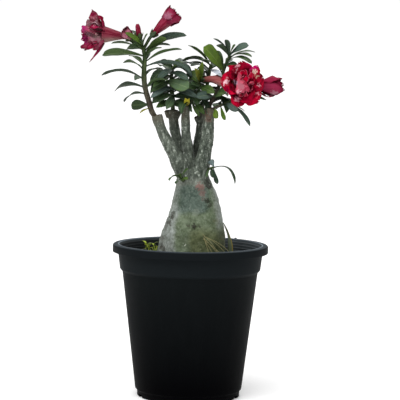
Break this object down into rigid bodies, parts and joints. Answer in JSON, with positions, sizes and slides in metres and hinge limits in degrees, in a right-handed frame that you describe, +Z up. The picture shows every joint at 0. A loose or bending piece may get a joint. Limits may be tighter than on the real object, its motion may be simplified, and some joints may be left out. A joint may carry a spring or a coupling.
{
  "type": "potted desert rose",
  "caption": "Old, hard-pruned desert rose with a swollen caudex, bare grey branches, leafy shoots and double pink and red blooms, standing in a black round nursery pot",
  "frame": {"origin": "centre of the pot's flat base", "axes": "+Z up along the pot's axis, -Y toward the side seen in the picture, +X to the right in the picture"},
  "size_m": [0.3222, 0.25, 0.6278],
  "materials": {
    "pot_plastic": "satin",
    "soil": "rough",
    "bark": "smooth grey-green bark",
    "petal_pink": "soft petal",
    "petal_red": "soft petal",
    "leaf": "glossy leaf",
    "weed_green": "matt leaf",
    "straw": "dry"
  },
  "bodies": {
    "root": {"pot": "pot_plastic", "soil": "soil", "trunk": "bark", "bloom_left": "petal_pink", "bud_half_open": "petal_pink", "bud_small": "petal_pink", "bloom_top": "petal_pink", "bloom_double": "petal_red", "bloom_right": "petal_pink", "grass_blade": "weed_green", "weeds": "weed_green", "straws": "straw", "leafy_stem_left": "leaf", "leafy_stem_middle": "leaf", "leafy_stem_centre": "leaf", "leafy_stem_back": "leaf", "leafy_stem_right": "leaf", "leafy_stem_low_right": "leaf", "neck_sprout_left": "leaf", "neck_sprout_right": "leaf"}
  },
  "joints": []
}
